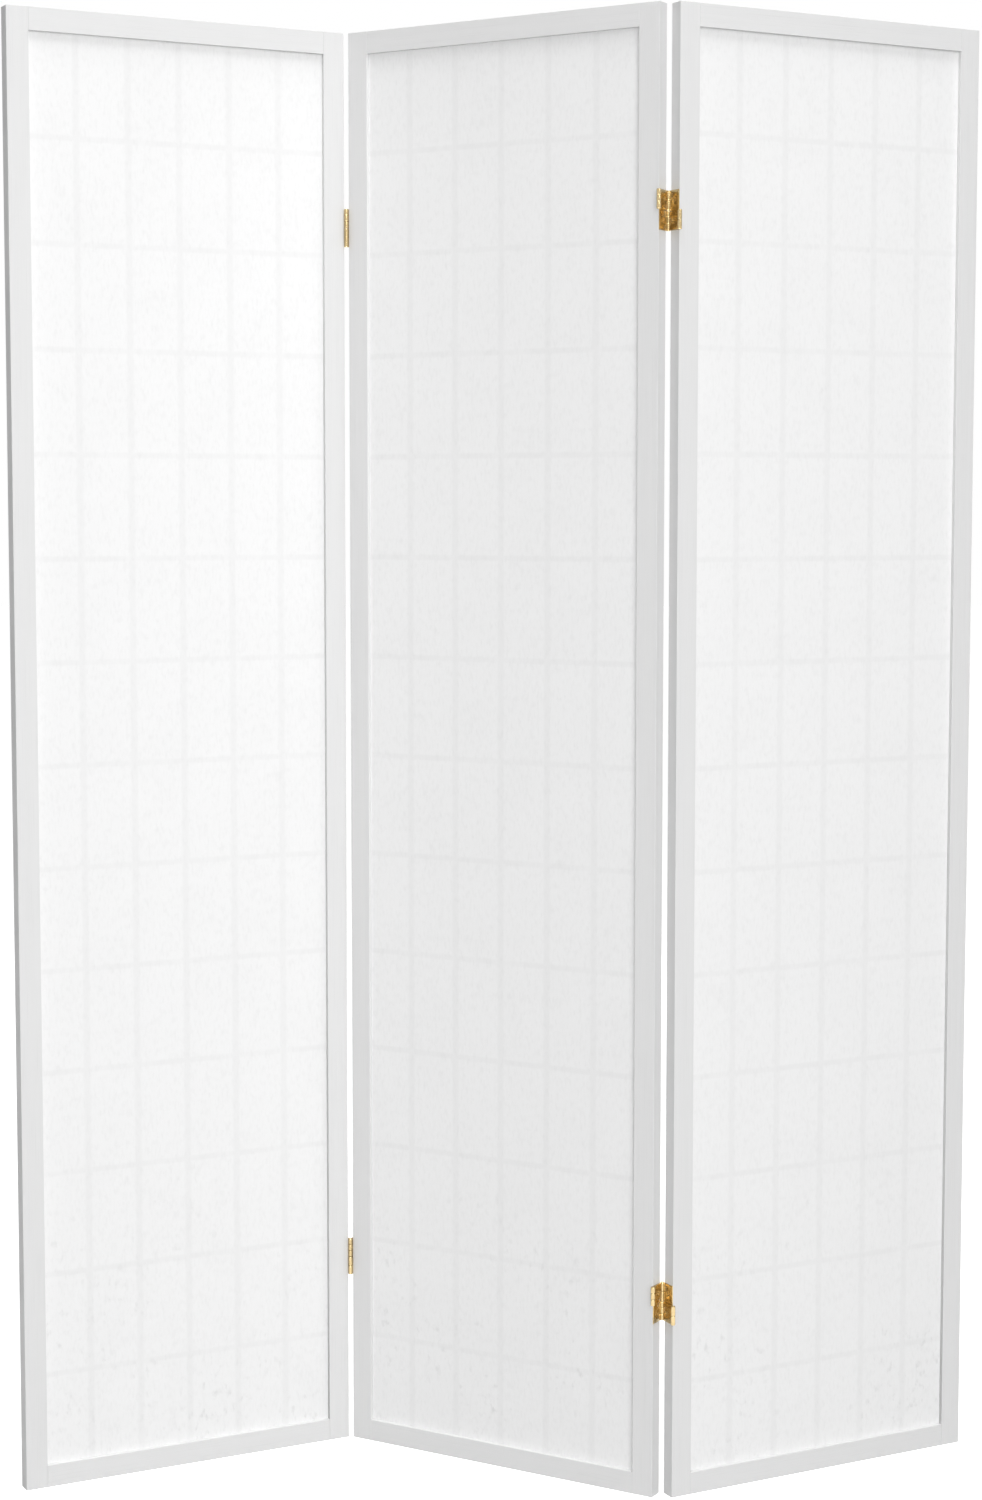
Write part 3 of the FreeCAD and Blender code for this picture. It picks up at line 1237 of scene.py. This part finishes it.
@dataclass
class TwoWayHinge:
    """A hinge of two leaves, two swing plates and four pins, that folds either way."""

    name: str
    sizes: HingeSizes
    left_place: PanelPlace
    right_place: PanelPlace
    upper_plate_goes: Side
    height: float
    brass: Material
    sides: int = 40
    rim: float = 0.12 * MM
    knuckle_rim: float = 0.42 * MM
    knuckle_crown: float = 3.6
    knuckle_steps: int = 6
    pin_dome: float = 0.12 * MM
    hole_play: float = 0.15 * MM
    screw_plate: float = 0.35 * MM
    screw_rim: float = 0.05 * MM
    screw_length: float = 14.0 * MM
    screw_point: float = 3.0 * MM
    screw_turn: float = 20.0
    recess_reach: float = 0.62
    recess_width: float = 0.17
    screw_sides: int = 24

    def build(self) -> None:
        """Makes the leaves with their pins and screws, and the swing plates."""
        for side in Side:
            leaf, pins, screws = self.leaf(side), self.pins(side), self.screws(side)
            self.dress(f"rolled_{self.name}_{side.value}_leaf", leaf, side, f"{self.name}_{side.value}_leaf")
            self.dress(f"{self.name}_{side.value}_leaf_pins", pins, side)
            self.dress(f"{self.name}_{side.value}_leaf_screws", screws, side)
        for half, level in ((1, "upper"), (-1, "lower")):
            goes = self.upper_plate_goes if half > 0 else self.upper_plate_goes.other
            node = f"{self.name}_{level}_swing_plate"
            self.dress(f"rolled_{node}", self.swing_plate(half), goes, node)

    def dress(self, name: str, mesh: Mesh, side: Side, *nodes: str) -> None:
        """Moves a piece from the hinge's own middle to its panel's edge and shows it.

        Args:
            name: the piece's name.
            mesh: its mesh, about the hinge's middle.
            side: the panel that it is on.
            nodes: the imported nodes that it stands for.
        """
        place, gap = self.left_place, self.sizes.panel_gap / 2
        edge = self.sizes.panel.width + gap
        if side is Side.RIGHT:
            place, edge = self.right_place, -gap
        mesh.transform(Matrix.Translation((edge, 0, self.height)))
        show(name, mesh, self.brass, place, Slot.BRASS, *nodes)

    def count(self, side: Side) -> int:
        """How many knuckles the barrels on one leaf have."""
        return self.sizes.left_knuckles if side is Side.LEFT else self.sizes.right_knuckles

    def to_side(self, side: Side) -> Matrix:
        """Takes a left leaf's piece to the given leaf, by half a turn about the hinge's middle.

        Args:
            side: the leaf's side.

        Returns:
            The move, which is none for the left leaf.
        """
        if side is Side.LEFT:
            return Matrix.Identity(4)
        middle = Matrix.Translation((0, self.sizes.panel.thickness / 2, 0))
        return middle @ Matrix.Rotation(math.pi, 4, "Z") @ middle.inverted()

    def knuckles(self, half: int, front: bool, count: int, places: Sequence[int]) -> Mesh:
        """Bored knuckles of one barrel with rounded rims, made by a geometry tree.

        Args:
            half: 1 for the upper half of the hinge, -1 for the lower.
            front: whether the barrel is ahead of the panel.
            count: how many knuckles the whole barrel has.
            places: which of them, evenly spaced, to make.

        Returns:
            The mesh.
        """
        s = self.sizes
        middles = [s.knuckle_middle(half, count, place) for place in places]
        graph = ShapeGraph("hinge_knuckles", {
            "Outer Radius": s.barrel_radius, "Bore Radius": s.bore_radius,
            "Length": s.knuckle_length(count), "Rim": self.knuckle_rim, "Crown": self.knuckle_crown,
            "Count": len(places), "Step": (middles[-1] - middles[0]) / max(1, len(places) - 1),
            "Sides": self.sides, "Finish": self.brass,
        })
        given = graph.given
        wall = graph.math("SUBTRACT", given["Outer Radius"], given["Bore Radius"])
        middle = graph.math("MULTIPLY", graph.math("ADD", given["Outer Radius"], given["Bore Radius"]), 0.5)
        path = graph.out("GeometryNodeCurvePrimitiveCircle", {
            "Resolution": given["Sides"], "Radius": middle}, mode="RADIUS")
        squat = graph.math("DIVIDE", given["Length"], given["Crown"])
        section = graph.out("GeometryNodeCurvePrimitiveQuadrilateral", {"Width": wall, "Height": squat})
        section = graph.out("GeometryNodeFilletCurve", {
            "Curve": section, "Radius": given["Rim"], "Limit Radius": True, "Count": self.knuckle_steps},
            mode="POLY")
        stretch = graph.out("ShaderNodeCombineXYZ", {"X": 1.0, "Y": given["Crown"], "Z": 1.0})
        section = graph.out("GeometryNodeTransform", {"Geometry": section, "Scale": stretch})
        knuckle = graph.out("GeometryNodeCurveToMesh", {0: path, 1: section})
        graph.end_with_row(knuckle, graph.out("ShaderNodeCombineXYZ", {"Z": given["Step"]}))
        mesh = graph.applied_to(bpy.data.meshes.new("start"))
        mesh.transform(Matrix.Translation((0, s.barrel_y(front), middles[0])))
        return mesh

    def plate_outline(self, low: float, high: float, near: float, far: float,
                      tabs: Sequence[tuple[int, bool, int, int]]) -> list[Vector]:
        """The outline of a sheet with a tab wherever a knuckle is rolled from it.

        Args:
            low: the sheet's lower edge.
            high: its upper edge.
            near: its front edge's depth.
            far: its back edge's depth.
            tabs: (half, front, knuckle count, place) of each knuckle.

        Returns:
            Points as (depth, height).
        """
        s = self.sizes
        reach = s.stand_off - s.barrel_radius + s.tab

        def spans(front: bool) -> list[tuple[float, float]]:
            """The tabs' lower and upper ends on one edge, rising.

            Args:
                front: whether it is the front edge.

            Returns:
                A (lower, upper) pair for each tab.
            """
            found = []
            for half, ahead, count, place in tabs:
                if ahead is front:
                    middle, length = s.knuckle_middle(half, count, place), s.knuckle_length(count)
                    found.append((middle - length / 2, middle + length / 2))
            return sorted(found)

        def edge(front: bool, depth: float, tip: float) -> list[Vector]:
            """One edge with its tabs, rising.

            Args:
                front: whether it is the front edge.
                depth: the edge's depth.
                tip: the tabs' outer depth.

            Returns:
                Points as (depth, height).
            """
            points = [Vector((depth, low))]
            for start, end in spans(front):
                points += [Vector(p) for p in ((depth, start), (tip, start), (tip, end), (depth, end))]
            return [*points, Vector((depth, high))]

        points = edge(False, far, s.panel.thickness + reach) + edge(True, near, -reach)[::-1]
        return [p for i, p in enumerate(points) if (p - points[i - 1]).length > SAME_POINT]

    def upright_sheet(self, outlines: Sequence[Sequence[Vector]], middle: float) -> Mesh:
        """A cut sheet stood up across the gap, with its thickness centred on x = middle."""
        stand = Matrix(((0, 0, 1, middle), (1, 0, 0, 0), (0, 1, 0, 0), (0, 0, 0, 1)))
        return moved(cut_sheet(outlines, self.sizes.sheet, self.rim), stand)

    def leaf(self, side: Side) -> Mesh:
        """A leaf with its rolled knuckles and countersunk holes.

        Args:
            side: the leaf's side.

        Returns:
            The mesh.
        """
        s, count = self.sizes, self.count(side)
        places = list(range(0, count, 2)) if side is Side.LEFT else list(range(1, count, 2))
        barrels = ((1, True), (-1, False))
        tabs = [(half, front, count, place) for half, front in barrels for place in places]
        reach, depth = s.height / 2, s.panel.thickness
        outline = self.plate_outline(-reach, reach, 0.0, depth, tabs)
        holes = [circle(Vector((depth / 2, z)), s.screw_head + self.hole_play, self.sides)
                 for z in (-s.screw_from_middle, s.screw_from_middle)]
        sheet = self.upright_sheet([outline, *holes], -(s.panel_gap - s.sheet) / 2)
        rolls = [self.knuckles(half, front, count, places) for half, front in barrels]
        return moved(smoothed(joined([sheet, *rolls])), self.to_side(side))

    def swing_plate(self, half: int) -> Mesh:
        """A swing plate with its knuckles and the hole that lets a driver reach the screw behind.

        Args:
            half: 1 for the upper plate, -1 for the lower.

        Returns:
            The mesh.
        """
        s = self.sizes
        barrels = []
        for front in (True, False):
            side = Side.LEFT if front == (half > 0) else Side.RIGHT
            count = self.count(side)
            places = list(range(1, count, 2)) if side is Side.LEFT else list(range(0, count, 2))
            barrels.append((half, front, count, places))
        tabs = [(half, front, count, place) for half, front, count, places in barrels for place in places]
        ends = sorted((half * s.middle_gap / 2, half * s.height / 2))
        near, far = s.plate_edge_gap, s.panel.thickness - s.plate_edge_gap
        outline = self.plate_outline(ends[0], ends[1], near, far, tabs)
        hole = circle(Vector((s.panel.thickness / 2, half * s.screw_from_middle)), s.access_hole, self.sides)
        sheet = self.upright_sheet([outline, hole], 0.0)
        rolls = [self.knuckles(*barrel) for barrel in barrels]
        return smoothed(joined([sheet, *rolls]))

    def pins(self, side: Side) -> Mesh:
        """The two pins of a leaf, riveted over at both ends.

        Args:
            side: the leaf's side.

        Returns:
            The mesh of both.
        """
        s = self.sizes
        reach, dome = s.barrel_length / 2, self.pin_dome
        profile = [(0, -reach - dome), (0.7 * s.pin_radius, -reach - 0.8 * dome),
                   (s.pin_radius, -reach + dome)]
        profile += [(radius, -height) for radius, height in reversed(profile)]
        pins = []
        for half, front in ((1, True), (-1, False)):
            middle = Vector((0, s.barrel_y(front), half * (s.middle_gap / 2 + reach)))
            pins.append(moved(lathed(profile, self.sides), Matrix.Translation(middle)))
        return moved(smoothed(joined(pins)), self.to_side(side))

    def screws(self, side: Side) -> Mesh:
        """The leaf's countersunk screws, set by a geometry tree.

        Args:
            side: the leaf's side.

        Returns:
            The mesh of both.
        """
        s = self.sizes
        outer_face = -s.panel_gap / 2 + s.sheet
        turn = Matrix(((0, 0, 1, outer_face), (1, 0, 0, s.panel.thickness / 2),
                       (0, 1, 0, -s.screw_from_middle), (0, 0, 0, 1)))
        lowest = moved(self.screw(), turn)
        graph = ShapeGraph("hinge_screws", {
            "Count": 2, "Step": 2 * s.screw_from_middle, "Finish": self.brass})
        step = graph.out("ShaderNodeCombineXYZ", {"Z": graph.given["Step"]})
        graph.end_with_row(graph.given["Geometry"], step)
        return moved(smoothed(graph.applied_to(lowest)), self.to_side(side))

    def screw(self) -> Mesh:
        """One screw with a cross recess. Its axis is z and its head's top is at z = 0.

        Returns:
            The mesh.
        """
        radius, top = self.sizes.screw_head, self.screw_plate
        arm, slot = self.recess_reach * radius, self.recess_width * radius
        quarter = [(arm, -slot), (arm, slot), (slot, slot)]
        turns = [Matrix.Rotation(math.radians(90 * i + self.screw_turn), 2) for i in range(4)]
        cross = [turn @ Vector(point) for turn in turns for point in quarter]
        plate = cut_sheet([circle(Vector((0, 0)), radius, self.sides), cross], top, self.screw_rim)
        plate.transform(Matrix.Translation((0, 0, -top / 2)))
        shank, length = 0.5 * radius, self.screw_length
        profile = [(0, -top * 1.6), (0.97 * radius, -top * 0.9), (0.9 * radius, -1.6 * top),
                   (shank, -0.8 * radius), (shank, -length + self.screw_point), (0, -length)]
        return joined([plate, lathed(profile, self.screw_sides)])


# Studio


@dataclass(frozen=True)
class Lamp:
    """A square soft lamp that the camera doesn't see."""

    name: str
    watts: float
    place: Triple
    size: float

    def hang(self, aim: Triple) -> None:
        """Puts the lamp in the scene, turned towards a point.

        Args:
            aim: the point.
        """
        data = bpy.data.lights.new(self.name, "AREA")
        data.size = self.size
        data.energy = self.watts
        lamp = linked(self.name, data)
        lamp.location = self.place
        lamp.rotation_euler = (Vector(aim) - Vector(self.place)).to_track_quat("-Z", "Y").to_euler()
        lamp.visible_camera = False


@dataclass
class Studio:
    """Floor, light and camera."""

    frame_pixels: tuple[int, int] = (982, 1500)
    focal_pixels: float = 2734.1
    principal_point: tuple[float, float] = (479.54, 737.13)
    camera_place: Triple = (0.06607, -3.3487, 1.1984)
    camera_yaw: float = 1.59
    camera_pitch: float = -4.80
    sensor: float = 36.0
    ambient: float = 0.29
    floor_albedo: float = 0.55
    floor_glow: float = 0.73
    floor_reach: float = 30.0
    aim: Triple = (0.0, 0.0, 1.0)
    lamps: tuple[Lamp, ...] = (
        Lamp("key", 100.0, (2.6, -5.7, 3.6), 1.8),
        Lamp("fill", 50.5, (0.44, -4.0, 0.65), 1.2),
        Lamp("top", 124.0, (0.3, -0.9, 5.3), 3.0),
        Lamp("back", 28.0, (0.3, 4.2, 1.7), 2.4),
    )

    def build(self) -> None:
        """Makes the studio."""
        self.camera()
        self.world()
        self.floor()
        for lamp in self.lamps:
            lamp.hang(self.aim)
        bpy.context.scene.view_settings.view_transform = "Standard"

    def camera(self) -> None:
        """The camera at the photograph's place, with its lens and the shift of its picture's middle."""
        width, height = self.frame_pixels
        data = bpy.data.cameras.new("camera")
        data.sensor_width = self.sensor
        data.lens = self.focal_pixels / height * self.sensor
        data.shift_x = (width / 2 - self.principal_point[0]) / height
        data.shift_y = (self.principal_point[1] - height / 2) / height
        camera = linked("camera", data)
        camera.location = self.camera_place
        camera.rotation_euler = (math.radians(90 + self.camera_pitch), 0, math.radians(self.camera_yaw))
        bpy.context.scene.camera = camera

    @staticmethod
    def seen(graph: NodeGraph) -> Socket:
        """1 for rays that show the surroundings themselves, directly, in a gloss or through glass.

        Args:
            graph: the graph to add to.

        Returns:
            The factor, 0 for every other ray.
        """
        path = graph.add("ShaderNodeLightPath").outputs
        gloss = graph.math("MAXIMUM", path["Is Glossy Ray"], path["Is Transmission Ray"])
        return graph.math("MAXIMUM", path["Is Camera Ray"], gloss)

    def world(self) -> None:
        """A white surround that lights the screen evenly."""
        world = bpy.data.worlds.new("surround")
        world.use_nodes = True
        bpy.context.scene.world = world
        graph = NodeGraph(world.node_tree)
        lit, shown = (graph.out("ShaderNodeBackground", {"Color": WHITE, "Strength": strength})
                      for strength in (self.ambient, 1.0))
        mixed = graph.out("ShaderNodeMixShader", {0: self.seen(graph), 1: lit, 2: shown})
        graph.add("ShaderNodeOutputWorld", {"Surface": mixed})

    def floor(self) -> None:
        """A wide white floor that keeps the screen's shadow."""
        graph = SurfaceGraph("floor")
        lit, shown = (graph.out("ShaderNodeBsdfDiffuse", {"Color": (albedo, albedo, albedo, 1.0)})
                      for albedo in (self.floor_albedo, 1.0))
        glow = graph.out("ShaderNodeEmission", {"Strength": self.floor_glow})
        bright = graph.out("ShaderNodeAddShader", {0: shown, 1: glow})
        mixed = graph.out("ShaderNodeMixShader", {0: self.seen(graph), 1: lit, 2: bright})
        reach = self.floor_reach
        bm = bmesh.new()
        corners = ((-reach, -reach), (reach, -reach), (reach, reach), (-reach, reach))
        bm.faces.new([bm.verts.new((x, y, 0.0)) for x, y in corners])
        mesh = meshed("floor", bm)
        mesh.materials.append(graph.finish_with(mixed))
        floor = linked("floor", mesh)


def main() -> None:
    """Builds the studio, the three panels and the four hinges."""
    logging.basicConfig(level=logging.INFO, format="%(message)s")
    Studio().build()
    panel = PanelSizes()
    cells = LatticeSizes(panel)
    hinge = HingeSizes(panel)
    places = Layout(panel, hinge).places()
    paint = PaintedWood().material()
    lattice_paint = PaintedWood("lattice_paint", grain_depth=0.03 * MM).material()
    paper = RicePaper().material(cells)
    strand = PaperFibre().material()
    brass = Brass().material()
    for number, place in enumerate(places, start=1):
        PanelFrame(panel, place, paint, seed=4.0 * number).build()
        PaperSheet(panel, cells, place, paper, strand, seed=number).build()
        Lattice(panel, cells, place, lattice_paint, seed=number).build()
    folds = (("left", places[0], places[1], Side.RIGHT), ("right", places[1], places[2], Side.LEFT))
    levels = {End.BOTTOM: hinge.centre_from_end, End.TOP: panel.height - hinge.centre_from_end}
    for (fold, left, right, upper_goes), (end, height) in product(folds, levels.items()):
        TwoWayHinge(f"{fold}_{end.value}_hinge", hinge, left, right, upper_goes, height, brass).build()


if __name__ == "__main__":
    main()
